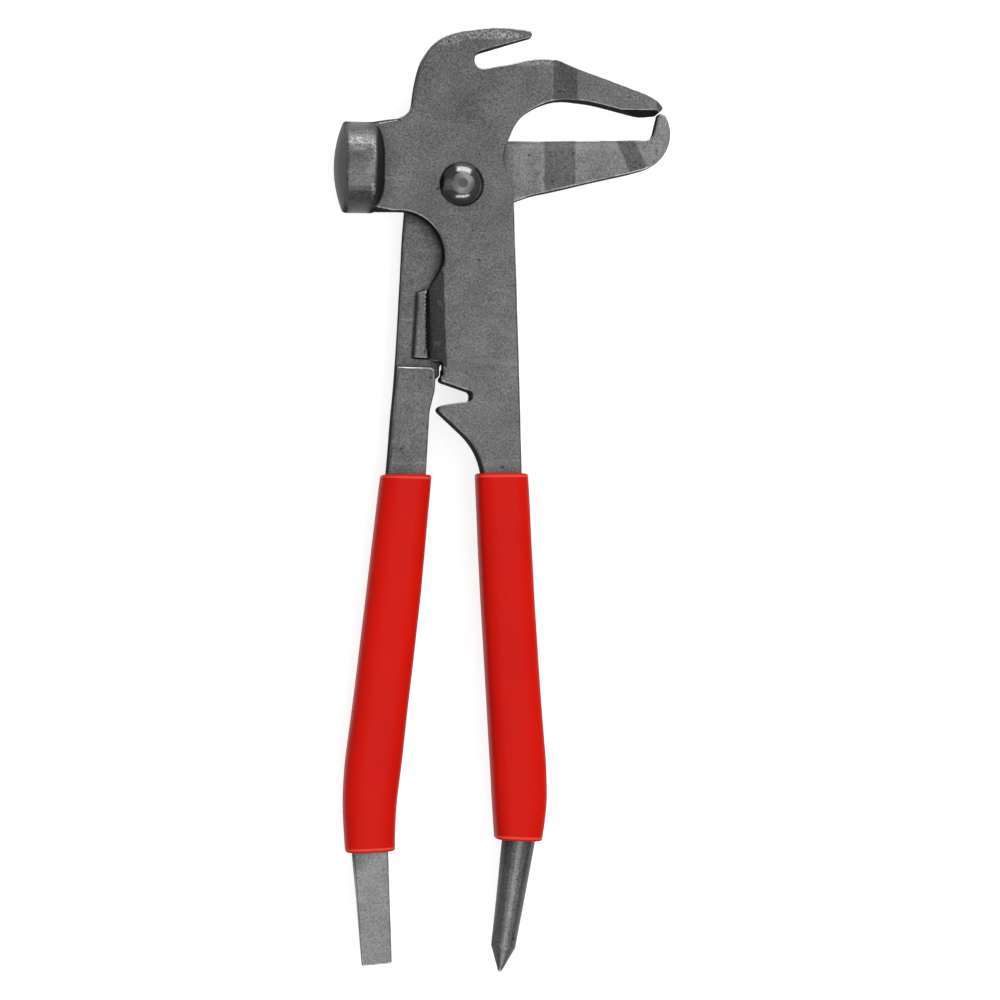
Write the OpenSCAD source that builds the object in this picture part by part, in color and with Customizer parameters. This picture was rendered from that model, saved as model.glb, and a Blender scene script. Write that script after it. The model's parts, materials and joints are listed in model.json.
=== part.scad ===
// Wheel weight pliers: two drop-forged levers crossing in a half-lap joint on one rivet.
// The front lever carries the hammer, the claw, the upper jaw, the clip notch and the punch.
// The rear lever carries the hooked lower jaw, the serrated pad and the flat chisel end.
// Plan coordinates are taken from the rivet axis, and the lap plane is z = 0 until the last shift.

/* [Joint] */
// Diameter of the rivet shank
rivet_d = 7.6; // [6:0.1:9]
// Diameter of the domed rivet head on the front
head_d = 12.1; // [10:0.1:13]
// Height of the domed rivet head on the front
head_h = 3.3; // [2:0.1:4]
// Diameter of the flatter rivet head on the back
tail_d = 11.6; // [10:0.1:13]
// Height of the flatter rivet head on the back
tail_h = 1.9; // [1:0.1:3]
// Radius of the round boss of the rear lever
boss_r = 14.4; // [13.8:0.1:14.8]
// Gap between the two lapped faces
lap_gap = 0.16; // [0.1:0.01:0.3]
// Radial running clearance of the rivet in the rear lever
run_clear = 0.05; // [0.02:0.01:0.1]
// Radial clearance of the rivet in the front lever, which it turns with
set_clear = 0.01; // [0.01:0.005:0.03]

/* [Forging] */
// Height of the front face above the lap plane, and depth of the back face below it
plate_z = 5.5; // [5.2:0.1:6]
// Thickness of the shanks and handles
shank_t = 9; // [8.6:0.1:9.6]
// Radius of the forged edges
edge_r = 0.35; // [0.3:0.05:0.5]

/* [Hammer] */
// Diameter of the hammer
hammer_d = 25; // [24:0.1:26]
// Length of the straight part of the hammer
hammer_len = 7.2; // [5:0.1:8]
// Height of the crowned striking face
crown_h = 3; // [1.5:0.1:3.5]
// Distance from the rivet axis to the hammer's back rim
rim_x = 24.3; // [23.8:0.1:25]

/* [Jaws] */
// Set-back of the upper jaw's front face
jaw_drop = 2.1; // [1:0.1:3]
// Depth of the upper jaw behind the lap plane
jaw_back = 3; // [2:0.1:3.2]
// Height of the lower jaw over the lap plane
jaw_rise = 1.6; // [1:0.1:2]
// Height of the hook over the lap plane
hook_rise = 3; // [2.4:0.1:3.3]
// Depth of the hook behind the lap plane
hook_back = 1.4; // [1:0.1:3]
// Turn of the diagonal step before the hook
hook_turn = 25; // [15:1:35]

/* [Clip cutter] */
// Height of the serrated pad over the lap plane
pad_h = 0.9; // [0.6:0.1:1.4]
// Width of the pad's sloping side, away from the blade
pad_flank = 0.6; // [0.3:0.1:1]
// Number of serrations
teeth = 14; // [8:1:15]
// Distance from one serration to the next
tooth_pitch = 1.1; // [0.9:0.05:1.15]
// Depth of a serration
tooth_depth = 0.55; // [0.3:0.05:0.7]
// Width of the ground bevel behind the blade's edge
bevel_w = 3.9; // [3:0.1:4.2]
// Height of the blade's blunt edge over the lap plane
blade_edge = 0.7; // [0.4:0.1:1.2]

/* [Handle ends] */
// Thickness of the chisel at its tip
chisel_tip_t = 1.6; // [1:0.1:3]
// Length over which the chisel tapers
chisel_taper = 30; // [24:1:30]
// Diameter of the punch at its root, inside the grip
punch_d = 9.9; // [9:0.1:10.2]
// Diameter of the punch where its point starts
punch_neck_d = 6.8; // [5:0.1:7.2]
// Length of the punch's conical point
punch_point = 7; // [5:0.1:9]

/* [Grips] */
// Thickness of a grip, front to back
grip_t = 12.8; // [12:0.1:14]
// Corner radius of a grip's section
grip_corner = 4.6; // [3:0.1:5.5]
// Radius of the rounded lip at a grip's upper end
grip_lip = 0.7; // [0.4:0.1:1.6]
// Gap between a grip's bore and the steel
grip_fit = 0.05; // [0.03:0.01:0.1]

/* [Hidden] */
$fn = 64;

steel = "#6b6b6b";
jaw_steel = "#7a7a7a";
vinyl = "#d81a14";
far = 70; // reach of a cutting shape past the forging

hammer_r = hammer_d / 2;
hammer_y = 4.85; // the hammer's axis, midway between the neck's edges
face_x = -(rim_x + hammer_len + crown_h); // crown of the striking face
hook_centre = [48.1, 15.1];
hook_r = 10.3;
hook_x = hook_centre.x + hook_r; // outermost point of the hook
claw_y = 43.15; // highest point of the claw's back
step_at = [45.5, 8.7]; // where the diagonal step to the hook starts
step_w = 4.6; // width of that step
punch_tip = [11, -215.4];
centre = [(face_x + hook_x) / 2, (claw_y + punch_tip.y) / 2];

front_face = plate_z;
front_back = plate_z - shank_t;
rear_face = shank_t - plate_z;
rear_back = -plate_z;
front_mid = (front_face + front_back) / 2;
rear_mid = (rear_face + rear_back) / 2;
lap = lap_gap / 2;
lower_back = rear_back + 1.5; // back of the lower jaw, short of the diagonal step

function unit(v) = v / norm(v);
function left_of(u) = [-u.y, u.x];
function turn(u, v) = atan2(u.x * v.y - u.y * v.x, u * v);
function xy(p) = [p.x, p.y];
function lift(p, z) = [for (q = p) [q.x, q.y, z]];

// Points of an arc about c from angle a to angle b, closer together on a small radius
function arc(c, r, a, b) =
    let (n = max(2, ceil(abs(b - a) / (r > 5 ? 6 : r > 1.5 ? 15 : 30))))
    [for (i = [0:n]) c + r * [cos(a + (b - a) * i / n), sin(a + (b - a) * i / n)]];

// The corner at b between a and c, rounded to the radius that b holds as its third number
function corner(a, b, c) =
    let (u = unit(xy(b) - xy(a)), v = unit(xy(c) - xy(b)), t = turn(u, v), r = b[2])
    r == 0 || abs(t) < 1 ? [xy(b)] :
    let (start = xy(b) - u * r * tan(abs(t) / 2), m = start + left_of(u) * r * sign(t))
    let (from = atan2(start.y - m.y, start.x - m.x))
    arc(m, r, from, from + t);

// A run of corners [x, y, radius], sharp at its two ends
function run(p) =
    let (last = len(p) - 1)
    concat([xy(p[0])], [for (i = [1:last - 1]) each corner(p[i - 1], p[i], p[i + 1])], [xy(p[last])]);

// A closed anticlockwise outline moved inwards by d, or outwards where d is negative
function inset(p, d) =
    let (n = len(p))
    [for (i = [0:n - 1])
        let (u = unit(p[i] - p[(i + n - 1) % n]), v = unit(p[(i + 1) % n] - p[i]))
        let (m = left_of(u) + left_of(v))
        p[i] + m * 2 * d / (m * m)];

// Above zero where q lies to the left of the line from a to b
function side(a, b, q) = (b.x - a.x) * (q.y - a.y) - (b.y - a.y) * (q.x - a.x);

// Whether the triangle a, b, c of the outline p holds none of the other points still in the ring
function is_ear(p, ring, a, b, c) =
    side(p[a], p[b], p[c]) > 1e-6 &&
    [for (i = ring)
        if (i != a && i != b && i != c && side(p[a], p[b], p[i]) >= 0
            && side(p[b], p[c], p[i]) >= 0 && side(p[c], p[a], p[i]) >= 0) i] == [];

// Triangles that fill the outline p, cut from its ring of points one ear at a time
function ears(p, ring, k = 0, done = []) =
    let (n = len(ring))
    let (a = ring[k % n], b = ring[(k + 1) % n], c = ring[(k + 2) % n])
    n < 3 ? done :
    is_ear(p, ring, a, b, c)
        ? ears(p, [for (i = ring) if (i != b) i], k + 1, concat(done, [[a, b, c]]))
        : ears(p, ring, k + 1, done);

// Sides from above its grip to the handle's end, shared by the forging and the grip's bore
front_inner = [[-7.5, -60.85, 1], [5.8, -73.2, 18], [11.1, -166, 30], [11.7, -176, 0]];
front_outer = [[21, -176, 0], [21.5, -166, 30], [16.65, -80, 60], [14.85, -18, 60]];
rear_outer = [[-17.8, -53.5, 30], [-20, -79, 60], [-30, -168, 30], [-29.1, -182, 30],
    [-26.7, -213.3, 1]];
rear_inner = [[-18.5, -212.7, 1], [-19.85, -182, 30], [-19.1, -166, 30], [-9.6, -80, 60],
    [-8.55, -62, 8]];

// Plan outline of the front lever, anticlockwise
front_outline = concat(
    run(concat(
        // neck, scoop beside the rear lever and the blade's edge
        [[-25, -7.45, 0], [-4.65, -7.35, 12.3], [-4.65, -22, 6], [-8.6, -28.4, 1.5],
        [-8.25, -48, 1], [-5.1, -48.5, 1], [-5.1, -52.2, 1], [-6.5, -53.6, 0.9]],
        // clip notch, whose lower side ends in the beak
        [[2.8, -56.7, 1.1], [2.8, -59.05, 1.1]],
        front_inner)),
    run(concat(
        front_outer,
        // shank, throat and underside of the upper jaw
        [[14.4, -1.7, 6], [11.2, 8.3, 8.6], [15.5, 18.4, 13.5], [24.1, 24.05, 20],
        [34.6, 24.05, 36], [50.2, 20.3, 10]],
        // nipping tip, back of the jaw and the hump
        [[54.9, 20.75, 0.8], [57.2, 22.75, 0.6], [51.8, 26.1, 20], [26.6, 34.85, 4], [20.4, 34.8, 8]],
        // nail slot and the claw's blunt beak
        [[1.7, 30.8, 2.45], [4.25, 36.35, 2.45], [19.95, 41.2, 0.6], [19.3, 42.75, 0.6]],
        // back of the claw and of the head, down to the neck
        [[9.5, 43.5, 40], [-9.5, 40.6, 14.5], [-12.9, 27, 40], [-13.9, 18, 5], [-25, 17.3, 0]]))
);

// Plan outline of the rear lever, anticlockwise
rear_outline = concat(
    run(concat(
        [[-15, -7.2, 0], [-15.4, -13, 60], [-17.3, -47, 60]],
        rear_outer)),
    run(concat(
        rear_inner,
        // shoulder, then the edge hidden behind the front lever
        [[-7.2, -56.4, 5], [-7, -53.4, 0.6], [-5.6, -52.1, 0.6], [-5.55, -49.5, 1],
        [-2.2, -46.5, 2], [-2.2, -15.4, 5], [3.3, -14.02, 0]])),
    arc([0, 0], boss_r, -73, -21),
    // underside of the lower jaw, round back of the hook, its tip and the straight upper edge
    run([[14.6, -4.05, 0], [20.2, -2.05, 20], [49, 4.73, 0]]),
    arc(hook_centre, hook_r, -75, 25),
    run([[57.05, 20.2, 0], [55.25, 21.2, 0.6], [53.4, 13.43, 2.6], [7.2, 12.7, 10], [4.93, 13.53, 0]]),
    arc([0, 0], boss_r, 76, 175)
);

// Plan outlines of the steel inside each grip
front_core = concat(run(front_inner), run(front_outer));
rear_core = concat(run(rear_outer), run(rear_inner));

// Stations down each grip: [x, y, half width]
right_stations = [[11.5, -78.9, 7.2], [12.3, -97, 7.3], [13.2, -114, 7.3], [14.85, -141, 7.4],
    [16.1, -159, 7.6], [16.45, -168, 7.5], [16.3, -174, 7], [16.05, -179.2, 6.4]];
left_stations = [[-14.65, -79.3, 6.95], [-16.5, -97, 7.2], [-18.3, -114, 7.42], [-21.5, -141, 7.5],
    [-23.7, -159, 7.7], [-24.6, -168, 7.4], [-24.7, -175, 7.05], [-24.45, -182, 6.75]];

// A skin over a stack of rings of equal length, with the faces in cap at both ends
module skin(rings, cap) {
    n = len(rings[0]);
    top = len(rings) - 1;
    walls = [for (k = [0:top - 1]) for (i = [0:n - 1])
        [k * n + i, (k + 1) * n + i, (k + 1) * n + (i + 1) % n, k * n + (i + 1) % n]];
    lid = [for (f = cap) [for (i = [len(f) - 1:-1:0]) top * n + f[i]]];
    polyhedron([for (r = rings) each r], concat(cap, walls, lid), convexity = 12);
}

// A forging blank: the outline p between two heights, with rounded edges
module blank(p, z0, z1, r) {
    lower = [for (a = [0:45:90]) [r * (1 - sin(a)), z0 + r * (1 - cos(a))]];
    upper = [for (a = [0:45:90]) [r * (1 - cos(a)), z1 - r * (1 - sin(a))]];
    cap = ears(inset(p, r), [for (i = [0:len(p) - 1]) i]);
    skin([for (s = concat(lower, upper)) lift(inset(p, s[0]), s[1])], cap);
}

// A long bar for cutting: its section p stands across the plan direction that turn gives
module bar(p, at, turn, length) {
    translate([at.x, at.y, 0])
        rotate([90, 0, turn])
            linear_extrude(length, center = true) polygon(p);
}

module rivet_hole(clear) {
    translate([0, 0, -far / 2]) cylinder(d = rivet_d + 2 * clear, h = far);
}

// Crowned face, straight body and rounded shoulder in one turned profile
module hammer_head() {
    bevel_r = hammer_r - 0.9; // where the crown stops and the edge rounds over
    crown_r = (bevel_r * bevel_r + (crown_h - 0.9) * (crown_h - 0.9)) / (2 * (crown_h - 0.9));
    crown = [for (k = [1:2:13])
        let (b = k / 13 * asin(bevel_r / crown_r))
        [crown_r * sin(b), face_x + crown_r * (1 - cos(b))]];
    rounding = [[hammer_r - 0.26, face_x + crown_h - 0.55], [hammer_r, face_x + crown_h + 0.1]];
    shoulder = [for (a = [0:18:90]) [hammer_r - 7 * (1 - cos(a)), -rim_x + 3 * sin(a)]];
    root = [[2, -rim_x + 4.2], [0, -rim_x + 4.2]];
    translate([0, hammer_y, 0])
        rotate([0, 90, 0])
            rotate_extrude($fn = 72) polygon(concat([[0, crown[0].y]], crown, rounding, shoulder, root));
}

// What the neck loses so that its edges run into the round of the hammer
module neck_trim() {
    difference() {
        translate([-26, hammer_y - 15, -far / 2]) cube([9, 30, far]);
        translate([-26, hammer_y, 0])
            rotate([0, 90, 0]) cylinder(r1 = hammer_r - 0.35, r2 = hammer_r + 1.15, h = 9.01);
    }
}

// Clearance for the rear lever: the whole head behind the lap plane, and a strip down the shank
module front_lap() {
    stepped = [[-far, lap], [25.2, lap], [32.5, -jaw_back], [far, -jaw_back], [far, -far], [-far, -far]];
    bar(stepped, [0, far - 18.5], 0, 2 * far);
    strip = run([[-far, -18, 0], [-far, -50.9, 0], [-5.3, -50.9, 0.5], [-1.2, -46, 2], [-1.2, -18, 0]]);
    translate([0, 0, -far]) linear_extrude(far + lap) polygon(strip);
}

// The joggle that sets the upper jaw's front face back towards the middle of the tool
module upper_jaw_step() {
    slope = jaw_drop / 7.3;
    face = [[15.2, front_face + 10 * slope], [32.5, front_face - jaw_drop], [far, front_face - jaw_drop],
        [far, far], [15.2, far]];
    bar(face, [0, 25], 0, 40);
}

// The nipping tip: its underside leans back, and its end slopes to the front
module nip() {
    bar([[19.9, -4], [22.35, 6], [12, 6], [12, -4]], [49, 0], 90, 18);
    bar([[52.6, 6], [57.6, -1], [62, -1], [62, 6]], [0, 22], -4, 14);
}

// The claw thins towards its beak
module claw_taper() {
    bar([[6, 6], [26, 3.2], [26, 20], [6, 20]], [0, 45.6], 0, 20);
}

// The ground bevel of the cutting blade, parallel to its edge
module blade_bevel() {
    slope = (front_face - blade_edge) / bevel_w;
    ground = [[-1, blade_edge - slope], [bevel_w + 1, front_face + slope], [-1, front_face + slope]];
    bar(ground, [-8.66, -36], 2.05, 28);
}

// Round punch with a conical point, starting inside the handle's end
module punch(clear = 0) {
    top = [17.45, -171];
    axis = punch_tip - top;
    shaft = norm(axis) - punch_point;
    translate([top.x, top.y, front_mid])
        rotate([90, 0, atan2(axis.y, axis.x) + 90]) {
            cylinder(d1 = punch_d + 2 * clear, d2 = punch_neck_d + 2 * clear, h = shaft);
            translate([0, 0, shaft]) cylinder(d1 = punch_neck_d, d2 = 1, h = punch_point);
        }
}

module front_lever() {
    color(steel)
        difference() {
            union() {
                difference() {
                    blank(front_outline, front_back, front_face, edge_r);
                    front_lap();
                    upper_jaw_step();
                    nip();
                    claw_taper();
                    blade_bevel();
                    neck_trim();
                }
                hammer_head();
                punch();
            }
            rivet_hole(set_clear);
        }
}

// Everything in front of the lap plane goes, down to the shoulder; the lower jaw rises in two steps
module rear_lap() {
    joggle = (jaw_rise + lap) / 8.3;
    low = [[-far, -lap], [23.6, -lap], [48, -lap + 24.4 * joggle], [48, far], [-far, far]];
    bar(low, [0, far - 48], 0, 2 * far);
    high = [[-30, jaw_rise], [0, jaw_rise], [step_w, hook_rise], [30, hook_rise], [30, far], [-30, far]];
    bar(high, step_at, hook_turn, 60);
    shoulder = run([[-far, -47, 0], [-far, -49.2, 0], [-7.1, -50.1, 1.4], [-6.95, -58, 0], [20, -58, 0],
        [20, -47, 0]]);
    translate([0, 0, -lap]) linear_extrude(far) polygon(shoulder);
}

// The back of the lower jaw comes forward in the same two steps
module lower_jaw_back() {
    first = [[15.6, rear_back - 1.45], [31.9, lower_back], [far, lower_back], [far, -far], [15.6, -far]];
    bar(first, [0, 10], 0, 60);
    slope = (-hook_back - lower_back) / step_w;
    second = [[-9, lower_back - 9 * slope], [step_w, -hook_back], [30, -hook_back], [30, -far], [-9, -far]];
    bar(second, step_at, hook_turn, 60);
}

// The pad that the blade closes against, with its row of fine serrations
module serrated_pad() {
    foot = [-8.75, -47.4];
    head = [-9, -28.6];
    along = unit(foot - head);
    first = head + along * 0.9;
    saw = [for (k = [teeth - 1:-1:0]) each
        [first + along * tooth_pitch * (k + 1),
        first + along * tooth_pitch * (k + 0.5) + [-tooth_depth, 0]]];
    outer = [[-11.95, -29.5], [-13.1, -47.1]];
    difference() {
        translate([0, 0, -lap - 1])
            linear_extrude(pad_h + lap + 1)
                polygon(concat(outer, [foot], saw, [first, head]));
        bar([[-1, -lap], [0, -lap], [pad_flank, pad_h], [pad_flank, 2 * pad_h], [-1, 2 * pad_h]],
            (outer[0] + outer[1]) / 2, -turn(outer[0] - outer[1], [0, 1]), 20);
    }
}

// Both flats of the chisel, meeting the tip at its blunt thickness
module chisel_flats() {
    slope = (shank_t - chisel_tip_t) / 2 / chisel_taper;
    for (side = [-1, 1]) {
        tip_z = rear_mid + side * chisel_tip_t / 2;
        rise = side * slope;
        flat = [[-5, tip_z - 5 * rise], [chisel_taper + 8, tip_z + (chisel_taper + 8) * rise],
            [chisel_taper + 8, side * far], [-5, side * far]];
        bar(flat, [-22.7, -213], 93.5, 30);
    }
}

module rear_lever() {
    color(jaw_steel)
        difference() {
            union() {
                difference() {
                    blank(rear_outline, rear_back, rear_face, edge_r);
                    rear_lap();
                    lower_jaw_back();
                    chisel_flats();
                }
                serrated_pad();
            }
            rivet_hole(run_clear);
        }
}

// Profile of a rivet head of radius r and height h, from its rim to a flat of radius f on top
function dome(r, h, f) =
    let (rim = 0.4, ball = (r * r - f * f + (h - rim) * (h - rim)) / (2 * (h - rim)))
    let (big = norm([f, ball]), low = h - ball)
    [for (t = [0:1 / 8:1])
        let (a = atan2(rim - low, r), b = atan2(h - low, f))
        big * [cos(a + (b - a) * t), sin(a + (b - a) * t)] + [0, low]];

module pivot_rivet() {
    tail_z = -plate_z - 0.1;
    front = [for (p = dome(head_d / 2, head_h, 1.3)) [p.x, plate_z + p.y]];
    back = [for (p = dome(tail_d / 2, tail_h, 2.2)) [p.x, tail_z - p.y]];
    profile = concat(
        [[0, plate_z + head_h - 0.12], [1, plate_z + head_h - 0.12]],
        [for (i = [len(front) - 1:-1:0]) front[i]],
        [[head_d / 2, plate_z], [rivet_d / 2, plate_z], [rivet_d / 2, tail_z], [tail_d / 2, tail_z]],
        back,
        [[0, tail_z - tail_h]]);
    color(steel) rotate_extrude() polygon(profile);
}

// Rounded rectangle about the origin, of half sizes w and t
function section(w, t, r) = [for (q = [0:3]) each
    arc([(q == 0 || q == 3 ? 1 : -1) * (w - r), (q < 2 ? 1 : -1) * (t - r)], r, 90 * q, 90 * q + 90)];

// The grip's section at station i, level at the top and square to the centre line below it,
// drawn in by d and moved along by shift
function grip_ring(s, i, z, d, shift = 0) =
    let (u = i == 0 ? [0, -1] : unit(xy(s[min(i + 1, len(s) - 1)]) - xy(s[i - 1])), across = left_of(u))
    [for (q = section(s[i][2] - d, grip_t / 2 - d, grip_corner - d))
        let (p = xy(s[i]) + u * shift + across * q.x)
        [p.x, p.y, z + q.y]];

module grip_shell(s, z) {
    last = len(s) - 1;
    lip = [for (a = [0:30:90]) grip_ring(s, 0, z, grip_lip * (1 - sin(a)), grip_lip * (1 - cos(a)))];
    foot = [grip_ring(s, last, z, 0, -0.5), grip_ring(s, last, z, 0.5)];
    cap = [[for (i = [0:len(lip[0]) - 1]) i]];
    skin(concat(lip, [for (i = [1:last - 1]) grip_ring(s, i, z, 0)], foot), cap);
}

module right_grip() {
    color(vinyl)
        difference() {
            grip_shell(right_stations, front_mid);
            blank(inset(front_core, -grip_fit), front_back - grip_fit, front_face + grip_fit, edge_r);
            punch(grip_fit);
        }
}

module left_grip() {
    color(vinyl)
        difference() {
            grip_shell(left_stations, rear_mid);
            blank(inset(rear_core, -grip_fit), rear_back - grip_fit, rear_face + grip_fit, edge_r);
        }
}

// The finished tool lies on its back: origin under its middle, floor at the lowest point of the hammer
module laid_down() {
    translate([-centre.x, -centre.y, hammer_r]) children();
}

laid_down() front_lever();
laid_down() rear_lever();
laid_down() pivot_rivet();
laid_down() right_grip();
laid_down() left_grip();
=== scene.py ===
import json
import math

import bmesh
import bpy
import numpy as np
from mathutils import Matrix, Vector


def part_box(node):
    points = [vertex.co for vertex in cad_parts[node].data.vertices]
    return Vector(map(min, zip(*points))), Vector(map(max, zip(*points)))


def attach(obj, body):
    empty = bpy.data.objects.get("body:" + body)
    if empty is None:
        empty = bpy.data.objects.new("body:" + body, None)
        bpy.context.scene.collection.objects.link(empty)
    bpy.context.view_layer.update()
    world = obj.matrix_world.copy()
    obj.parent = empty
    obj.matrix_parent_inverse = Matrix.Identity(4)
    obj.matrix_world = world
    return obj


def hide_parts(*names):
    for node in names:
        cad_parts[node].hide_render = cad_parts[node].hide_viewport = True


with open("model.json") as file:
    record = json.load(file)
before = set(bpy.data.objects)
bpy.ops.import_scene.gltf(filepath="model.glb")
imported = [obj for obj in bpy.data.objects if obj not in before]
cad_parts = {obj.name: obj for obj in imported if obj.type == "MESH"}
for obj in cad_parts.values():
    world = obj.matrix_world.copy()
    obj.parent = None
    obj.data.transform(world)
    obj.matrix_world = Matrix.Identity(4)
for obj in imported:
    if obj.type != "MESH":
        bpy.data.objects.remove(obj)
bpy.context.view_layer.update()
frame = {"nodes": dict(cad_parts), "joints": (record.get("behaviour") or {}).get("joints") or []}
mm = 0.001
pivot = np.array(frame["joints"][0]["pos_m"])   # the rivet's axis where it crosses the lap
print("frame loaded:", ", ".join(sorted(frame["nodes"])))


def addPiece(name, mesh, body, node):
    # a mesh becomes a smooth object that rides on its body and stands for a CAD node
    mesh.polygons.foreach_set("use_smooth", np.ones(len(mesh.polygons), bool))
    piece = bpy.data.objects.new(name, mesh)
    bpy.context.scene.collection.objects.link(piece)
    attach(piece, body)
    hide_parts(node)
    return piece


def meshOf(name, points, faces):
    mesh = bpy.data.meshes.new(name)
    mesh.from_pydata(points.tolist(), [], faces)
    mesh.update()
    return mesh


def storeOnPoints(mesh, name, values):
    layer = mesh.attributes.new(name, "FLOAT", "POINT")
    layer.data.foreach_set("value", np.asarray(values, np.float32))


def pointArrays(mesh):
    # the places and normals of a mesh's points, and the two ends of each edge
    co = np.empty(len(mesh.vertices) * 3, np.float32)
    normal = np.empty(len(mesh.vertices) * 3, np.float32)
    ends = np.empty(len(mesh.edges) * 2, np.int32)
    mesh.vertices.foreach_get("co", co)
    mesh.vertices.foreach_get("normal", normal)
    mesh.edges.foreach_get("vertices", ends)
    return co.reshape(-1, 3).astype(float), normal.reshape(-1, 3).astype(float), ends.reshape(-1, 2)


def movePoints(mesh, points):
    mesh.vertices.foreach_set("co", points.astype(np.float32).ravel())
    mesh.update()


def neighbourMean(values, ends, count):
    # each point's value becomes the mean of its neighbours' along the edges
    values = values.reshape(count, -1)
    total = np.empty_like(values)
    for k in range(values.shape[1]):
        total[:, k] = (np.bincount(ends[:, 0], values[ends[:, 1], k], count)
                       + np.bincount(ends[:, 1], values[ends[:, 0], k], count))
    links = np.bincount(ends.ravel(), minlength=count)[:, None]
    return total / np.maximum(links, 1)


def wavyNoise(points, size, seed, waves=14, sizes=(0.5, 1.3)):
    # the sum of sines that run in random directions, about -1 to 1, with bumps of about that size
    rng = np.random.default_rng(seed)
    ways = rng.normal(size=(waves, 3))
    ways *= ((2 * math.pi / size) * rng.uniform(*sizes, (waves, 1))
             / np.linalg.norm(ways, axis=1)[:, None])
    phases = rng.uniform(0, 2 * math.pi, waves)
    return np.sin(points @ ways.T + phases).sum(1) / math.sqrt(waves)


forging = {
    "merge": 0.002 * mm,    # the solid's points nearer than this are made one
    "skin": 0.26 * mm,      # fineness of the skin that is laid over the solid
    "easing": 3,            # passes that round its edges and fill its inner corners
    "out": 0.55,            # share of the way to its neighbours' mean that a point goes in a pass
    "back": 0.53,           # share of the way that it then comes back
    "around": 4,            # passes over which "standing" looks at the neighbourhood
    "waves": 0.045 * mm,    # height of the unevenness left by the dies
    "waveSize": 16 * mm,
    "flatness": 50,         # how far the larger faces decide the normals
}


def modified(name, mesh, kind, **settings):
    # the mesh as one modifier leaves it
    temp = bpy.data.objects.new(name, mesh)
    bpy.context.scene.collection.objects.link(temp)
    modifier = temp.modifiers.new(kind.lower(), kind)
    for key, value in settings.items():
        setattr(modifier, key, value)
    graph = bpy.context.evaluated_depsgraph_get()
    result = bpy.data.meshes.new_from_object(temp.evaluated_get(graph))
    bpy.data.objects.remove(temp)
    return result


def forgedSkin(node, name, body, seed, share):
    # the CAD solid merged, wrapped in an even skin, then eased: each pass moves a point part of the
    # way to its neighbours' mean, and part of the way back so that the piece keeps its size
    mesh = frame["nodes"][node].data.copy()
    work = bmesh.new()
    work.from_mesh(mesh)
    bmesh.ops.remove_doubles(work, verts=work.verts, dist=forging["merge"])
    work.to_mesh(mesh)
    work.free()
    skin = modified(name, mesh, "REMESH", mode="VOXEL", voxel_size=forging["skin"])
    points, normals, ends = pointArrays(skin)
    count = len(points)
    for k in range(forging["easing"]):
        points += forging["out"] * (neighbourMean(points, ends, count) - points)
        points -= forging["back"] * (neighbourMean(points, ends, count) - points)
    movePoints(skin, points)
    points, normals, ends = pointArrays(skin)
    # how far a point stands out from its neighbourhood, in mm: above 0 on edges, below in corners
    around = points
    for k in range(forging["around"]):
        around = neighbourMean(around, ends, count)
    standing = ((points - around) * normals).sum(1) / mm
    standing = neighbourMean(standing, ends, count).ravel()
    unevenness = forging["waves"] * wavyNoise(points, forging["waveSize"], seed)
    points += normals * unevenness[:, None]
    points = np.clip(points, *(np.array(corner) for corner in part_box(node)))
    movePoints(skin, points)
    storeOnPoints(skin, "standing", standing)
    skin.polygons.foreach_set("use_smooth", np.ones(len(skin.polygons), bool))
    # fewer faces on the flats, then normals that follow the larger faces so the flats stay flat
    skin = modified(name, skin, "DECIMATE", ratio=share)
    skin = modified(name, skin, "WEIGHTED_NORMAL", weight=forging["flatness"])
    skin.name = name
    skin.materials.clear()
    print(name, "forged:", len(skin.polygons), "faces")
    return addPiece(name, skin, body, node)


frontForging = forgedSkin("front_lever", "front_lever_forging", "front_half",
                          seed=3, share=0.36)
rearForging = forgedSkin("rear_lever", "rear_lever_forging", "rear_half",
                         seed=8, share=0.5)

rivetShape = {
    "turns": 120,
    "plate": 18 * mm,           # height of the plate's front face
    "tail": 6.9 * mm,           # height of the lever's back face, where the tail starts
    "tailRadius": 5.8 * mm,
    "shaft": 3.8 * mm,          # its radius
    "grip": 0.05 * mm,          # how far both heads reach into the steel they hold
    "rim": 0.35 * mm,           # height of both heads at the rim
    "headFlat": 1.3 * mm,       # radius at which the head's arc starts
    "headRings": 44,
    "tailFlat": 2.2 * mm,
    "tailRings": 26,
    "headFoot": [-0.02, 0.12],  # mm out from the head's radius, and up from the plate
    "headUnder": 0.12 * mm,     # how far in the head's underside starts
    "tailUnder": 0.1 * mm,
    "tailFoot": [-0.02, -0.1],
    "middle": 1.2 * mm,         # radius of the peened middle
    "middleRings": 8,
    "dish": 0.03 * mm,          # its depth
    "dishRadius": 1.0 * mm,
    "tailMiddle": 1.0 * mm,     # radius of the last ring before the tail closes
    "dents": 0.04 * mm,         # how far hammering has left it out of round
    "dentSize": 5 * mm,
    "dentSeed": 4,
    "dentedFrom": 4,            # mm from the axis at which the dents have their full depth
    "heads": 5.7 * mm,          # distance from the lap past which a point belongs to a head
}


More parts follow.
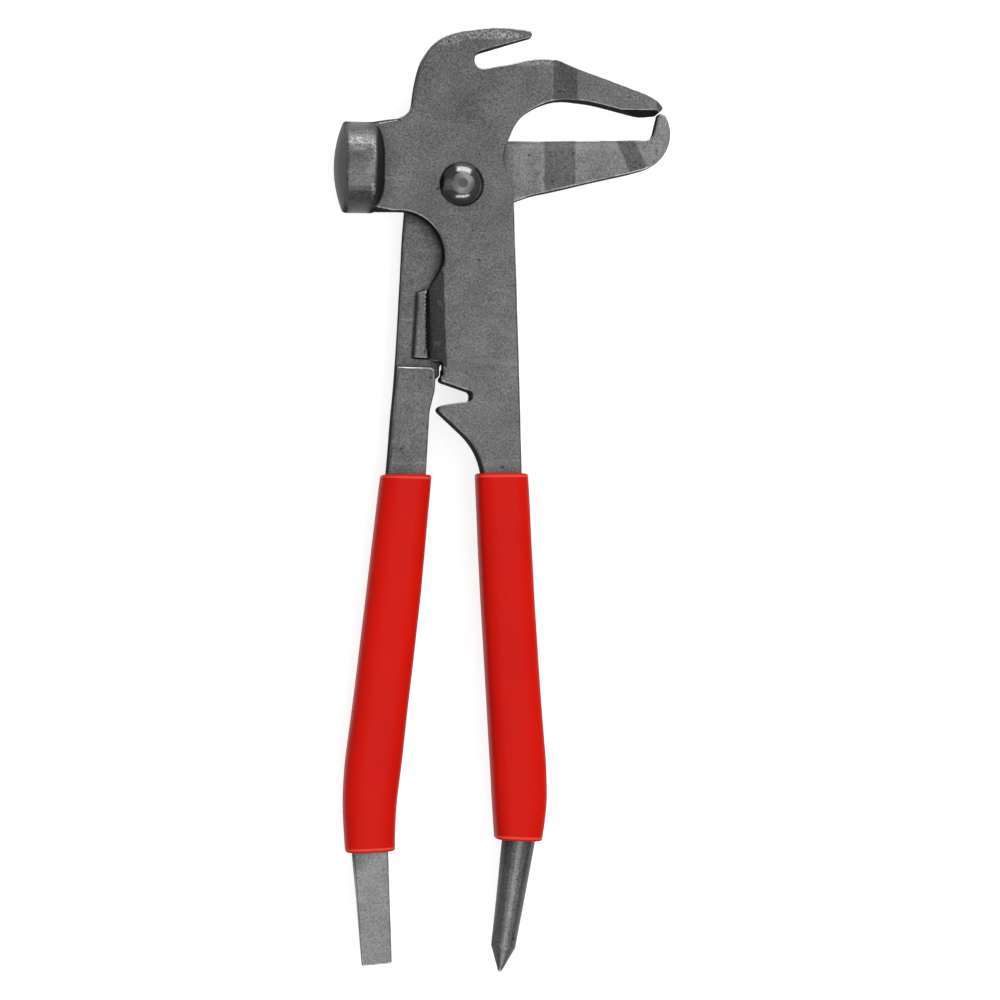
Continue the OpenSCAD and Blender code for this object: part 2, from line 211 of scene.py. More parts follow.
def revolve(profile, turns, centre):
    # a profile of [radius, height] carried round the z axis of centre, and closed on the axis
    angle = np.linspace(0, 2 * math.pi, turns, endpoint=False)
    radius, height = profile[1:-1, 0], profile[1:-1, 1]
    ring = np.stack([radius[:, None] * np.cos(angle), radius[:, None] * np.sin(angle),
                     np.repeat(height[:, None], turns, 1)], -1).reshape(-1, 3)
    poles = np.array([[0, 0, profile[0, 1]], [0, 0, profile[-1, 1]]])
    points = np.vstack([ring, poles]) + centre
    rows = len(radius)
    k, i = np.meshgrid(np.arange(rows - 1), np.arange(turns), indexing="ij")
    j = (i + 1) % turns
    quads = np.stack([k * turns + i, k * turns + j, (k + 1) * turns + j, (k + 1) * turns + i], -1)
    i = np.arange(turns)
    j = (i + 1) % turns
    end = (rows - 1) * turns
    first = np.stack([np.full(turns, rows * turns), j, i], -1)
    last = np.stack([np.full(turns, rows * turns + 1), end + i, end + j], -1)
    return points, quads.reshape(-1, 4).tolist() + first.tolist() + last.tolist()


def domeProfile(radius, height, flatRadius, rim, rings):
    # an arc from the flat on top down to the rim, part of one circle centred on the axis
    ball = (radius ** 2 - flatRadius ** 2 + (height - rim) ** 2) / (2 * (height - rim))
    big, low = math.hypot(flatRadius, ball), height - ball
    a = np.linspace(math.atan2(height - low, flatRadius), math.atan2(rim - low, radius), rings)
    return np.stack([big * np.cos(a), low + big * np.sin(a)], -1)


def makeRivet(shape):
    # from the peened middle over the dome, down the shaft and over the tail, as one profile
    low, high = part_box("pivot_rivet")
    headRadius = (high.x - low.x) / 2
    plate, tail, tailRadius = shape["plate"], shape["tail"], shape["tailRadius"]
    grip, shaft, rim = shape["grip"], shape["shaft"], shape["rim"]
    front = domeProfile(headRadius, high.z - plate, shape["headFlat"], rim, shape["headRings"])
    back = domeProfile(tailRadius, tail - low.z, shape["tailFlat"], rim, shape["tailRings"])
    inner = np.linspace(0, shape["middle"], shape["middleRings"])
    dish = -shape["dish"] * np.exp(-(inner / shape["dishRadius"]) ** 4)
    headFoot, tailFoot = np.array(shape["headFoot"]) * mm, np.array(shape["tailFoot"]) * mm
    profile = np.vstack([
        np.stack([inner, high.z + dish], -1),
        front + [0, plate],
        [[headRadius, plate] + headFoot, [headRadius - shape["headUnder"], plate - grip]],
        [[shaft, plate - grip], [shaft, tail + grip]],
        [[tailRadius - shape["tailUnder"], tail + grip], [tailRadius, tail] + tailFoot],
        np.stack([back[::-1, 0], tail - back[::-1, 1]], -1),
        [[shape["tailMiddle"], low.z], [0, low.z]],
    ])
    points, faces = revolve(profile, shape["turns"], np.array([pivot[0], pivot[1], 0]))
    fromLap = points[:, 2] - pivot[2]
    out = np.hypot(points[:, 0] - pivot[0], points[:, 1] - pivot[1]) / mm
    push = (shape["dents"] * wavyNoise(points, shape["dentSize"], shape["dentSeed"])
            * np.clip(out / shape["dentedFrom"], 0, 1))
    points[:, 2] += np.sign(fromLap) * np.minimum(push, 0) * (np.abs(fromLap) > shape["heads"])
    mesh = meshOf("pivot_rivet_head", points, faces)
    storeOnPoints(mesh, "outward", out)
    return addPiece("pivot_rivet_head", mesh, "front_half", "pivot_rivet")


rivet = makeRivet(rivetShape)
print("rivet turned")

sleeve = {
    "thickness": 12.8 * mm,
    "lip": 0.7 * mm,        # radius of the rounded upper end
    "foot": 0.45 * mm,      # radius of the cut lower end
    "square": 3.4,          # how square the section is: 2 is an oval, and more is squarer
    "level": 4 * mm,        # length over which the rings turn from level to square with the line
    "rows": 280,
    "crowding": (0.3, 0.7),     # shares of even rows, and of rows that crowd towards the ends
    "around": 96,
    "softening": 20,        # the line and the widths are averaged over 1/20 of it to each side
    "ripple": 0.06 * mm,    # depth of the soft hollows in the vinyl
    "rippleSize": 17 * mm,
    "hole": 4.1 * mm,       # half the height of the hole at its ends
}
rightGripShape = {
    # centre line down the handle, counted in mm from the rivet, with half the width at each place
    "line": [[11.5, -78.9], [12.3, -97], [13.2, -114], [14.85, -141], [16.1, -159],
             [16.45, -168], [16.3, -174], [16.05, -179.2]],
    "half": [7.2, 7.3, 7.3, 7.4, 7.6, 7.5, 7, 6.4],
    "core": 4.2 * mm,       # half the width of the hole at its ends
    "seed": 11,
}
leftGripShape = {
    "line": [[-14.65, -79.3], [-16.5, -97], [-18.3, -114], [-21.5, -141], [-23.7, -159],
             [-24.6, -168], [-24.7, -175], [-24.45, -182]],
    "half": [6.95, 7.2, 7.42, 7.5, 7.7, 7.4, 7.05, 6.75],
    "core": 4.3 * mm,
    "seed": 23,
}


def easedTable(where, values, count):
    # values given along a line, read at even steps and then averaged over a short window
    read = np.interp(np.linspace(0, 1, count), where, values)
    width = count // sleeve["softening"]
    window = np.hanning(2 * width + 3)[1:-1]
    start = 2 * read[0] - read[width:0:-1]
    end = 2 * read[-1] - read[-2:-width - 2:-1]
    return np.convolve(np.concatenate([start, read, end]), window / window.sum(), "valid")


def squareOval(around, square):
    # points on the curve |x|^n + |y|^n = 1, at even angles
    a = (np.arange(around) + 0.5) * 2 * math.pi / around
    reach = (np.abs(np.cos(a)) ** square + np.abs(np.sin(a)) ** square) ** (-1 / square)
    return np.stack([reach * np.cos(a), reach * np.sin(a)], -1)


def quarterRound(radius, fromEnd):
    # how far a quarter round draws the section in, at each distance from the end
    return radius - np.sqrt(radius ** 2 - np.clip(radius - fromEnd, 0, radius) ** 2)


def makeGrip(name, shape, body, node):
    # a square oval carried down the handle's centre line, drawn in at both ends by quarter rounds,
    # and a second one inside it, turned the other way and joined to it at the ends
    low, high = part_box(node)
    middleHeight = (low.z + high.z) / 2
    line = np.array(shape["line"]) * mm + pivot[:2]
    steps = np.concatenate([[0], np.cumsum(np.linalg.norm(np.diff(line, axis=0), axis=1))])
    total, rows, around = steps[-1], sleeve["rows"], sleeve["around"]
    where = steps / total
    centre = np.stack([easedTable(where, line[:, k], rows) for k in (0, 1)], -1)
    half = easedTable(where, np.array(shape["half"]) * mm, rows)
    even = np.linspace(0, 1, rows)
    evenly, crowded = sleeve["crowding"]
    close = evenly * even + crowded * (0.5 - 0.5 * np.cos(math.pi * even))
    centre = np.stack([np.interp(close, even, centre[:, k]) for k in (0, 1)], -1)
    half = np.interp(close, even, half)
    down, up = close * total, (1 - close) * total
    along = np.gradient(centre, axis=0)
    along /= np.linalg.norm(along, axis=1)[:, None]
    # the upper end is cut level, so the first rings lie level too
    turned = np.clip(down / sleeve["level"], 0, 1)
    side = np.stack([-along[:, 1], along[:, 0] * turned], -1)
    drawn = quarterRound(sleeve["lip"], down) + quarterRound(sleeve["foot"], up)
    section = squareOval(around, sleeve["square"])

    def rings(chosen, halfWidth, halfHeight):
        # the section laid across the line at the chosen rows
        wide = halfWidth[:, None] * section[None, :, 0]
        return np.stack([centre[chosen][:, None, 0] + side[chosen][:, None, 0] * wide,
                         centre[chosen][:, None, 1] + side[chosen][:, None, 1] * wide,
                         middleHeight + halfHeight[:, None] * section[None, :, 1]], -1)

    skin = rings(np.arange(rows), half - drawn, sleeve["thickness"] / 2 - drawn)
    middles = np.stack([centre[:, 0], centre[:, 1], np.full(rows, middleHeight)], -1)
    outward = skin - middles[:, None]
    outward /= np.linalg.norm(outward, axis=2)[..., None]
    hollows = wavyNoise(skin.reshape(-1, 3), sleeve["rippleSize"], shape["seed"]).clip(-1, 1)
    ripple = -sleeve["ripple"] * (0.5 + 0.5 * hollows)
    skin += outward * ripple.reshape(rows, around, 1)
    holeRows = np.array([0, 1, rows - 2, rows - 1])
    hole = rings(holeRows, np.full(4, shape["core"]), np.full(4, sleeve["hole"]))
    points = np.vstack([skin.reshape(-1, 3), hole[::-1].reshape(-1, 3)])
    count = rows + len(holeRows)
    k, i = np.meshgrid(np.arange(count), np.arange(around), indexing="ij")
    j, nextRing = (i + 1) % around, (k + 1) % count
    faces = np.stack([k * around + i, nextRing * around + i,
                      nextRing * around + j, k * around + j], -1)
    mesh = meshOf(name, points, faces.reshape(-1, 4).tolist())
    fromEnd = np.repeat(np.minimum(down, up), around) / mm
    storeOnPoints(mesh, "fromEnd", np.concatenate([fromEnd, np.zeros(len(holeRows) * around)]))
    return addPiece(name, mesh, body, node)


rightGrip = makeGrip("right_grip_sleeve", rightGripShape, "front_half", "right_grip")
leftGrip = makeGrip("left_grip_sleeve", leftGripShape, "rear_half", "left_grip")
print("grips drawn over the handles")


def nodeOf(tree, kind, values=None, **settings):
    # a node with its settings; a value that is a socket is linked, and any other is typed in
    node = tree.nodes.new(kind)
    for key, value in settings.items():
        setattr(node, key, value)
    for key, value in (values or {}).items():
        if isinstance(value, bpy.types.NodeSocket):
            tree.links.new(value, node.inputs[key])
        else:
            node.inputs[key].default_value = value
    return node


def mathOf(tree, operation, a, b=0.0, c=0.0, clamp=False):
    node = nodeOf(tree, "ShaderNodeMath", {0: a, 1: b, 2: c}, operation=operation, use_clamp=clamp)
    return node.outputs[0]


def timesOf(tree, a, *others):
    for b in others:
        a = mathOf(tree, "MULTIPLY", a, b)
    return a


def lineOf(tree, value, factor, start):
    # value * factor + start
    return mathOf(tree, "MULTIPLY_ADD", value, factor, start)


def outsideOf(tree, share):
    # 1 - share
    return mathOf(tree, "SUBTRACT", 1.0, share)


def noiseOf(tree, place, scale, detail, roughness, stretch=None, lean=0.0):
    # scale in bumps for a metre; a stretched noise is drawn out where its factor is small, and
    # then turned about z by the lean
    if stretch:
        place = nodeOf(tree, "ShaderNodeMapping", {"Vector": place, "Scale": stretch,
                                                   "Rotation": (0, 0, lean)}).outputs[0]
    values = {"Vector": place, "Scale": scale, "Detail": detail, "Roughness": roughness}
    return nodeOf(tree, "ShaderNodeTexNoise", values).outputs["Fac"]


def noisesOf(tree, place, table):
    return {name: noiseOf(tree, place, *values) for name, values in table.items()}


def rangeOf(tree, value, low, high, toLow=0.0, toHigh=1.0, smooth=True):
    values = {"Value": value, "From Min": low, "From Max": high, "To Min": toLow, "To Max": toHigh}
    return nodeOf(tree, "ShaderNodeMapRange", values, clamp=True,
                  interpolation_type="SMOOTHSTEP" if smooth else "LINEAR").outputs[0]


def attributeOf(tree, name):
    return nodeOf(tree, "ShaderNodeAttribute", attribute_name=name).outputs["Fac"]


def mixOf(tree, share, a, b):
    node = nodeOf(tree, "ShaderNodeMix", {0: share}, data_type="RGBA")
    for socket, value in ((node.inputs[6], a), (node.inputs[7], b)):
        if isinstance(value, bpy.types.NodeSocket):
            tree.links.new(value, socket)
        else:
            socket.default_value = (*value, 1)
    return node.outputs[2]


def grey(value):
    return (value, value, value)


def brighter(tree, colour, factor):
    values = {0: colour, 3: factor}
    return nodeOf(tree, "ShaderNodeVectorMath", values, operation="SCALE").outputs[0]


def emptyTree(owner):
    owner.use_nodes = True
    owner.node_tree.nodes.clear()
    return owner.node_tree


def startMaterial(name):
    material = bpy.data.materials.new(name)
    tree = emptyTree(material)
    shader = tree.nodes.new("ShaderNodeBsdfPrincipled")
    nodeOf(tree, "ShaderNodeOutputMaterial", {"Surface": shader.outputs[0]})
    place = tree.nodes.new("ShaderNodeTexCoord").outputs["Object"]
    return material, tree, shader, place


def roughenedBy(tree, shader, height, strength, depth):
    # bump from a height that runs from 0 to about 1 over the given depth
    values = {"Height": height, "Strength": strength, "Distance": depth}
    tree.links.new(nodeOf(tree, "ShaderNodeBump", values).outputs[0], shader.inputs["Normal"])


spotRim = (1.15, 0.75)      # where a spot starts and where it is full, as shares of its reach


def spotsOf(tree, place, spots):
    # 1 inside the ovals [x, y, reach in x, reach in y, strength] and 0 away from them, in mm
    # from the rivet
    fromRivet = nodeOf(tree, "ShaderNodeVectorMath", {0: place, 1: tuple(pivot)},
                       operation="SUBTRACT").outputs[0]
    total = None
    for x, y, reachX, reachY, strength in spots:
        away = nodeOf(tree, "ShaderNodeVectorMath", {0: fromRivet, 1: (x * mm, y * mm, 0)},
                      operation="SUBTRACT").outputs[0]
        shares = (1 / (reachX * mm), 1 / (reachY * mm), 0)
        away = nodeOf(tree, "ShaderNodeVectorMath", {0: away, 1: shares},
                      operation="MULTIPLY").outputs[0]
        away = nodeOf(tree, "ShaderNodeVectorMath", {0: away}, operation="LENGTH").outputs["Value"]
        spot = rangeOf(tree, away, *spotRim, 0.0, strength)
        total = mathOf(tree, "MAXIMUM", total, spot) if total else spot
    return total


steelLook = {
    "face": 0.070,              # grey of the tumbled flat faces
    "scale": 0.014,             # grey of the dark scale, painted shade on the flanks
    "bareAndHighlit": 0.45,               # grey of the rubbed edges and of their painted highlights
    "metallic": 0.72,
    "roughness": 0.29,          # of the flat faces, where the grain is at its lowest
    "roughGrain": 0.22,         # what the grain adds to it
    "roughScale": 0.14,         # what the scale and painted shade on the flanks add
    "smoothRub": 0.12,          # what rubbing takes away
    "grain": 0.80,              # how strongly the tone is mottled
    "grinding": -0.22,          # what grinding changes in that, being finer than tumbling
    "blotch": (0.90, 0.55),     # tone from the blotches, as factor and start
    "cloud": (0.40, 0.80),
    "smudgeAndShade": 0.6,              # how much the painted shade of the shade spots darkens
    "recessShadeReach": 5 * mm,        # size of the recesses that get painted shade
    "recessShadeSamples": 6,
    "speck": (0.22, 0.8),       # light specks: share, and brightness beside bare steel
    "line": (0.16, 0.7),        # light scratches, the same
    "pit": (0.8, 0.8),          # dark pits: share, and brightness beside scale
    "dirtAndShade": (0.35, 0.35),       # dirt and painted shade in the corners, the same
    "ragged": (0.3, -0.15),     # how the blotches fray the scale's border
    "worn": (0.16, 0.30),       # what handling adds to the wear noise, and how bare it gets, in spots of wear and painted highlight
    "ior": (-0.47, 1.5),        # from the scale, which is dull and keeps the painted shade on the flanks dark, as factor and start
    "pitDepth": 0.8,
    "grainDepth": 0.5,
    "bump": (0.55, 0.05 * mm),  # strength and depth
}
steelNoises = {
    # scale, detail and roughness, then stretch and turn
    "grain": (1900, 3, 0.6),
    "speck": (2600, 1, 0.5),
    "blotch": (130, 4, 0.6),
    "cloud": (28, 2, 0.5),
    "scratch": (260, 2, 0.5, (0.06, 1, 1), 0.7),
    "pit": (620, 0, 0.55),
    "patch": (160, 4, 0.65),
    "wear": (1500, 3, 0.6),
    "unevenness": (420, 3, 0.55),
}
steelSteps = {
    # the values between which a mask goes from its first to its last, and those two if not 0 and 1
    "grain": (0.25, 0.75, -1.0, 1.0),
    "slope": (0.03, 0.18, 1.0, 0.6),        # painted shade: steep slopes are darker than the flats
    "openness": (0.35, 0.95, 0.45, 1.0),    # painted shade lies in the recesses, from ambient occlusion
    "speck": (0.66, 0.80),
    "pit": (0.20, 0.15),
    "scratch": (0.62, 0.74),
    "scaleAndShade": (0.25, 0.75),                  # the flanks keep dark scale, painted shade on them
    "bevel": (0.03, 0.10),
    "patch": (0.38, 0.62, 0.35, 1.0),       # the edges are rubbed bare and given painted highlights in places
    "edge": (0.045, 0.075),                 # mm that a rubbed edge stands out
    "edgeSlope": (0.85, 0.45),
    "edgeAcross": (0.1, 0.45, 0.3, 1.0),    # edges across the tool are rubbed more and get more painted highlight
    "wear": (0.60, 0.72),
    "wearSlope": (0.8, 0.5),
    "corner": (-0.012, -0.06),              # mm that a corner with dirt and painted shade lies back
}
frontMarks = {
    # places as [x, y, reach in x, reach in y, strength], counted in mm from the rivet
    # the hammer, the punch
    "ground": [[-29.5, 5, 6, 16, 0.60], [18, -200, 10, 27, 0.9]],
    # wear and painted highlights: three on the backs of the claw and the upper jaw, the hammer's
    # side, two on its inner edge
    "rubbedAndHighlit": [[7, 41.2, 10.5, 1.5, 1.0], [-4, 40, 6, 2.4, 0.8], [18, 34.2, 8, 1.3, 0.8],
               [-28.8, 9.8, 3.6, 2.2, 0.8],
               [-24.6, 8.8, 0.7, 3, 1.0], [-24.6, -2.5, 0.7, 2.5, 1.0]],
    # painted shade: the middle of the hammer's side, its inner shoulder
    "shadeSpots": [[-29, 4.4, 3.2, 3, 0.55], [-22.9, 4.6, 1.0, 9.5, 1.0]],
    # painted shade as dark scale: the upper jaw's lower bevel, the hammer's inner shoulder
    "shadedBevels": [[46, 19.3, 12, 4, 0.85], [-22.9, 4.6, 1.5, 10, 0.5]],
    # the hammer's side, its struck face, the punch
    "machined": [[-28.0, 4.5, 3.9, 18, 0.9], [-34.2, 4.5, 3.0, 18, 0.37],
                 [18, -200, 10, 27, 0.9]],
}
rearMarks = {
    # the whole lower jaw, its root, its joggle, the pad, the chisel
    "ground": [[33, 9, 34, 30, 0.36], [12.5, 3, 7, 12, 0.55], [27, 3, 5, 14, 0.75],
               [-10.9, -38.5, 2.2, 10.5, 0.1], [-21, -203, 12, 24, 1.5]],
    # wear and painted highlights: the jaw's lower edge, the hooked tip
    "rubbedAndHighlit": [[20, -3, 10, 1.2, 0.4], [57, 19, 2, 6, 0.5]],
    # painted shade: the shank above the grip, the pad's edge beside the blade
    "shadeSpots": [[-19, -76, 6, 5, 0.3], [-8.9, -38.5, 0.8, 9.6, 0.9]],
    "shadedBevels": [],
    # the chisel
    "machined": [[-21, -203, 12, 24, 0.8]],
}


def steelMaterial(name, look, marks):
    material, tree, shader, place = startMaterial(name)
    noises = noisesOf(tree, place, steelNoises)
    spots = {kind: spotsOf(tree, place, where) for kind, where in marks.items() if where}
    facing = nodeOf(tree, "ShaderNodeSeparateXYZ",
                    {0: nodeOf(tree, "ShaderNodeTexCoord").outputs["Normal"]})
    flank = outsideOf(tree, mathOf(tree, "ABSOLUTE", facing.outputs[2]))
    standing = attributeOf(tree, "standing")
    openness = nodeOf(tree, "ShaderNodeAmbientOcclusion", {"Distance": look["recessShadeReach"]},
                      samples=look["recessShadeSamples"]).outputs["AO"]

    def step(key, value, smooth=True):
        return rangeOf(tree, value, *steelSteps[key], smooth=smooth)

    def marked(colour, mask, mark, tone):
        # colour with the mask's places in a brightness of the tone, as the mark's two numbers say
        share, brightness = mark
        return mixOf(tree, timesOf(tree, mask, share), colour, grey(tone * brightness))

    # the mottled grey of the faces, which grinding brightens and smooths, with painted shade on
    # steep slopes, in the recesses and in the shade spots
    depth = lineOf(tree, spots["ground"], look["grinding"], look["grain"])
    mottle = lineOf(tree, step("grain", noises["grain"], smooth=False), depth, 1.0)
    mottle = timesOf(tree, mottle, lineOf(tree, noises["blotch"], *look["blotch"]),
                     lineOf(tree, noises["cloud"], *look["cloud"]))
    toneAndShade = timesOf(tree, mottle, step("slope", flank), step("openness", openness, smooth=False),
                  mathOf(tree, "ADD", spots["ground"], 1.0),
                  outsideOf(tree, timesOf(tree, spots["shadeSpots"], look["smudgeAndShade"])))
    face = brighter(tree, grey(look["face"]), toneAndShade)
    pits = step("pit", noises["pit"])
    face = marked(face, step("speck", noises["speck"]), look["speck"], look["bareAndHighlit"])
    face = marked(face, pits, look["pit"], look["scale"])
    face = marked(face, step("scratch", noises["scratch"]), look["line"], look["bareAndHighlit"])
    # dark scale as painted shade on the flanks and on some bevels, but not where a tool has turned
    # or ground the steel
    border = mathOf(tree, "ADD", flank, lineOf(tree, noises["blotch"], *look["ragged"]))
    scaleAndShade = timesOf(tree, step("scaleAndShade", border), outsideOf(tree, spots["machined"]))
    if "shadedBevels" in spots:
        scaleAndShade = mathOf(tree, "MAXIMUM", scaleAndShade,
                       timesOf(tree, step("bevel", flank), spots["shadedBevels"]))
    colour = mixOf(tree, scaleAndShade, face, brighter(tree, grey(look["scale"]), mottle))
    # bare steel and painted highlights on the edges and where hands and wheels have rubbed, dirt
    # and painted shade in the corners
    across = mathOf(tree, "ABSOLUTE", facing.outputs[1])
    edge = timesOf(tree, step("edge", standing), step("patch", noises["patch"]),
                   step("edgeSlope", flank), step("edgeAcross", across),
                   outsideOf(tree, spots["shadeSpots"]))
    handling, bareness = look["worn"]
    worn = lineOf(tree, spots["rubbedAndHighlit"], handling, noises["wear"])
    worn = timesOf(tree, step("wear", worn), spots["rubbedAndHighlit"], step("wearSlope", flank), bareness)
    rubbedAndHighlit = mathOf(tree, "MAXIMUM", edge, worn)
    colour = mixOf(tree, rubbedAndHighlit, colour, grey(look["bareAndHighlit"]))
    # dirt and painted shade darken the inner corners
    colour = marked(colour, step("corner", standing), look["dirtAndShade"], look["scale"])
    tree.links.new(colour, shader.inputs["Base Color"])
    metallic = lineOf(tree, scaleAndShade, -look["metallic"], look["metallic"])
    tree.links.new(metallic, shader.inputs["Metallic"])
    tree.links.new(lineOf(tree, scaleAndShade, *look["ior"]), shader.inputs["IOR"])
    rough = lineOf(tree, noises["grain"], look["roughGrain"], look["roughness"])
    rough = mathOf(tree, "ADD", rough, timesOf(tree, scaleAndShade, look["roughScale"]))
    rough = mathOf(tree, "SUBTRACT", rough, timesOf(tree, rubbedAndHighlit, look["smoothRub"]), clamp=True)
    tree.links.new(rough, shader.inputs["Roughness"])
    height = lineOf(tree, noises["grain"], look["grainDepth"], noises["unevenness"])
    pitted = timesOf(tree, pits, look["pit"][0], look["pitDepth"])
    roughenedBy(tree, shader, mathOf(tree, "SUBTRACT", height, pitted), *look["bump"])
    return material


frontForging.data.materials.append(steelMaterial("tumbledSteel", steelLook, frontMarks))
rearForging.data.materials.append(steelMaterial("groundSteel", steelLook, rearMarks))

rivetLook = {
    "steel": 0.11,              # grey of the dome
    "mottle": (0.75, 1.25),     # how far its grain goes below and above that
    "mottleStep": (0.3, 0.7),
    "worn": 0.17,               # grey of the ring that hammering has left
    "ringShare": 0.85,
    "reflectionDot": 0.06,                # grey of the peened middle, a painted reflection of the camera
    "metallic": 0.9,
    "roughness": (0.16, 0.10),  # from the smudges, as factor and start
    "ringRoughness": 0.27,
    "frayed": (2.4, -1.2),      # how the smudges fray the ring's border, in mm
    "bump": (0.35, 0.06 * mm),
    "noises": {"grain": (1500, 4, 0.7), "smudgeAndShade": (420, 4, 0.65)},
    # in mm from the axis
    "ring": (3.2, 2.8),
    "middle": (1.5, 1.25),
    # painted shade: the dome darkens towards its rim
    "rimShade": (3.6, 6.2, 1.0, 0.4),
}


def rivetMaterial(look):
    material, tree, shader, place = startMaterial("headedRivet")
    outward = attributeOf(tree, "outward")
    noises = noisesOf(tree, place, look["noises"])
    ragged = mathOf(tree, "ADD", outward, lineOf(tree, noises["smudgeAndShade"], *look["frayed"]))
    ring = rangeOf(tree, ragged, *look["ring"])
    dark, light = (grey(look["steel"] * share) for share in look["mottle"])
    colour = mixOf(tree, rangeOf(tree, noises["grain"], *look["mottleStep"]), dark, light)
    colour = mixOf(tree, timesOf(tree, ring, look["ringShare"]), colour, grey(look["worn"]))
    # a painted reflection of the camera, dark, on the peened middle
    colour = mixOf(tree, rangeOf(tree, outward, *look["middle"]), colour, grey(look["reflectionDot"]))
    # painted shade, darker towards the dome's rim
    colour = brighter(tree, colour, rangeOf(tree, outward, *look["rimShade"]))
    tree.links.new(colour, shader.inputs["Base Color"])
    shader.inputs["Metallic"].default_value = look["metallic"]
    rough = lineOf(tree, noises["smudgeAndShade"], *look["roughness"])
    rough = mathOf(tree, "ADD", rough, timesOf(tree, ring, look["ringRoughness"]))
    tree.links.new(rough, shader.inputs["Roughness"])
    roughenedBy(tree, shader, noises["smudgeAndShade"], *look["bump"])
    return material


rivet.data.materials.append(rivetMaterial(rivetLook))

vinylLook = {
    "red": (0.51, 0.006, 0.002),
    "deep": (0.37, 0.004, 0.002),
    # colour of the painted highlight along the rounded ends
    "lip": (0.75, 0.07, 0.05),
    "deepShare": 0.28,
    "smear": (0.60, 0.40),      # between these the smeared noise turns the red deep
    "smearShares": (0.6, 0.4),  # of blotch and of streak in it
    "lipHighlightShare": 0.7,
    "lipHighlightStart": (0.4, 0.7),     # mm from the end where the painted highlight on the lip starts and is full
    "lipHighlightStop": (1.3, 0.9),
    "roughness": (0.16, 0.34),  # from the blotches, as factor and start
    "roughFine": 0.04,
    "specular": 0.06,
    "fineDepth": 0.12,
    "bump": (0.35, 0.09 * mm),
    "noises": {"blotch": (45, 4, 0.6), "streak": (60, 3, 0.5, (1, 0.15, 1)),
               "fine": (1200, 3, 0.6), "dimples": (170, 3, 0.5)},
}


def vinylMaterial(look):
    material, tree, shader, place = startMaterial("redVinyl")
    noises = noisesOf(tree, place, look["noises"])
    blotch, streak = (timesOf(tree, noises[name], share)
                      for name, share in zip(("blotch", "streak"), look["smearShares"]))
    smear = rangeOf(tree, mathOf(tree, "ADD", blotch, streak), *look["smear"])
    colour = mixOf(tree, timesOf(tree, smear, look["deepShare"]), look["red"], look["deep"])
    # a painted highlight along the rim of each end
    fromEnd = attributeOf(tree, "fromEnd")
    rim = timesOf(tree, rangeOf(tree, fromEnd, *look["lipHighlightStart"]),
                  rangeOf(tree, fromEnd, *look["lipHighlightStop"]), look["lipHighlightShare"])
    tree.links.new(mixOf(tree, rim, colour, look["lip"]), shader.inputs["Base Color"])
    rough = mathOf(tree, "ADD", lineOf(tree, noises["blotch"], *look["roughness"]),
                   timesOf(tree, noises["fine"], look["roughFine"]))
    tree.links.new(rough, shader.inputs["Roughness"])
    shader.inputs["Specular IOR Level"].default_value = look["specular"]
    height = lineOf(tree, noises["fine"], look["fineDepth"], noises["dimples"])
    roughenedBy(tree, shader, height, *look["bump"])
    return material


redVinyl = vinylMaterial(vinylLook)
for grip in (rightGrip, leftGrip):
    grip.data.materials.append(redVinyl)
print("materials mixed")

stageLook = {
    "reach": 6.0,           # half the floor's width in metres
    "drop": 0.02 * mm,      # how far the floor lies below the tool
    "paper": 0.42,          # what the floor gives back of the lamps' light
    "glow": 0.74,           # what the floor shows by itself, so that it reads as white paper
    "sky": 0.30,            # strength of the room's light
    "seenSky": 1.0,         # what the eye sees of it
}


def seenRay(tree):
    # 1 for what the eye sees straight, in a mirror or through glass
    ray = nodeOf(tree, "ShaderNodeLightPath")
    seen = mathOf(tree, "ADD", ray.outputs["Is Camera Ray"], ray.outputs["Is Glossy Ray"])
    return mathOf(tree, "ADD", seen, ray.outputs["Is Transmission Ray"], clamp=True)


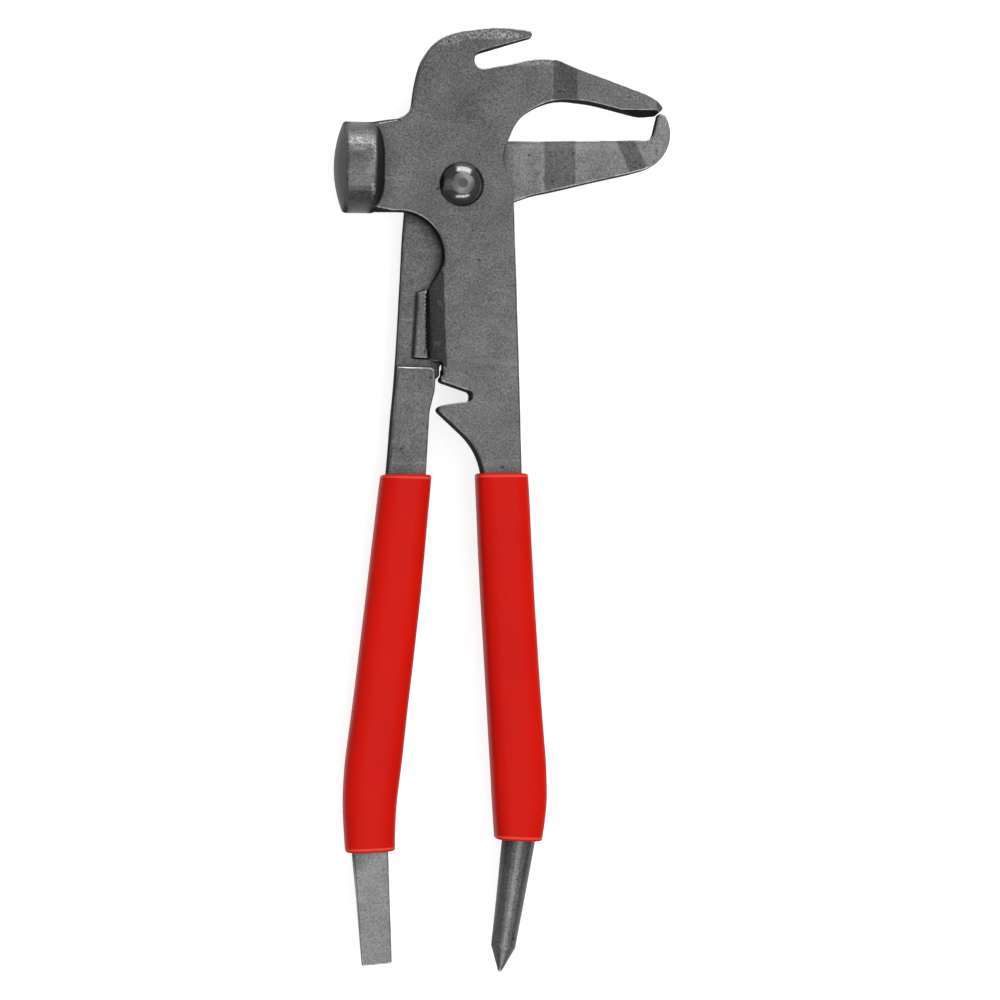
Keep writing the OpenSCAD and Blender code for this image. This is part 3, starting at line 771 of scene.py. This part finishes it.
def makeStage(look):
    reach, height = look["reach"], -look["drop"]
    corners = np.array([[-reach, -reach, height], [reach, -reach, height],
                        [reach, reach, height], [-reach, reach, height]])
    mesh = meshOf("floor", corners, [(0, 1, 2, 3)])
    floor = bpy.data.objects.new("floor", mesh)
    bpy.context.scene.collection.objects.link(floor)
    material = bpy.data.materials.new("whitePaper")
    tree = emptyTree(material)
    paper = nodeOf(tree, "ShaderNodeBsdfDiffuse", {"Color": (*grey(look["paper"]), 1)})
    glow = nodeOf(tree, "ShaderNodeEmission",
                  {"Strength": timesOf(tree, seenRay(tree), look["glow"])})
    both = nodeOf(tree, "ShaderNodeAddShader", {0: paper.outputs[0], 1: glow.outputs[0]})
    nodeOf(tree, "ShaderNodeOutputMaterial", {"Surface": both.outputs[0]})
    mesh.materials.append(material)
    world = bpy.data.worlds.new("room")
    bpy.context.scene.world = world
    tree = emptyTree(world)
    eye = nodeOf(tree, "ShaderNodeLightPath").outputs["Is Camera Ray"]
    strength = rangeOf(tree, eye, 0, 1, look["sky"], look["seenSky"], smooth=False)
    sky = nodeOf(tree, "ShaderNodeBackground", {"Color": (1, 1, 1, 1), "Strength": strength})
    nodeOf(tree, "ShaderNodeOutputWorld", {"Surface": sky.outputs[0]})


lamps = {
    # place, what it points at, width and length, all in metres, and power in watts
    "overheadBox": [(0.21, 0.10, 1.1), (0.07, -0.1, 0.0), (0.32, 1.9), 9.3],
    "headBox": [(0.20, 1.00, 0.34), (0.0, 0.08, 0.0), (0.92, 0.46), 9.5],
    "footBox": [(0.12, -0.95, 0.85), (0.0, 0.08, 0.0), (1.3, 0.12), 6.0],
    "leftBox": [(-1.1, 0.1, 0.6), (0.0, 0.0, 0.0), (0.9, 1.5), 2.0],
}


def addLamp(name, place, aim, size, power):
    lamp = bpy.data.lights.new(name, "AREA")
    lamp.shape = "RECTANGLE"
    lamp.size, lamp.size_y = size
    lamp.energy = power
    holder = bpy.data.objects.new(name, lamp)
    bpy.context.scene.collection.objects.link(holder)
    holder.location = place
    holder.rotation_euler = (Vector(aim) - Vector(place)).to_track_quat("-Z", "Y").to_euler()


makeStage(stageLook)
for name, lamp in lamps.items():
    addLamp(name, *lamp)

cameraView = {
    "place": (-93.15, -100.025, 793.0),     # in mm from the rivet, as is the target
    "target": (11.25, -86.15, 0.0),
    "lens": 104.73,
    "sensor": 36,
    "clip": (0.05, 30),                     # nearest and farthest that it sees, in metres
}


def makeCamera(view):
    # looks from its place to the target, with the scene's y axis up in the picture
    camera = bpy.data.cameras.new("camera")
    camera.sensor_width = view["sensor"]
    camera.sensor_fit = "HORIZONTAL"
    camera.lens = view["lens"]
    camera.clip_start, camera.clip_end = view["clip"]
    holder = bpy.data.objects.new("camera", camera)
    bpy.context.scene.collection.objects.link(holder)
    place, target = (Vector(pivot) + Vector(view[key]) * mm for key in ("place", "target"))
    back = (place - target).normalized()
    right = Vector((0, 1, 0)).cross(back).normalized()
    turn = Matrix((right, back.cross(right), back)).transposed()
    holder.matrix_world = Matrix.Translation(place) @ turn.to_4x4()
    bpy.context.scene.camera = holder


makeCamera(cameraView)
bpy.context.scene.view_settings.view_transform = "Standard"
print("stage lit")
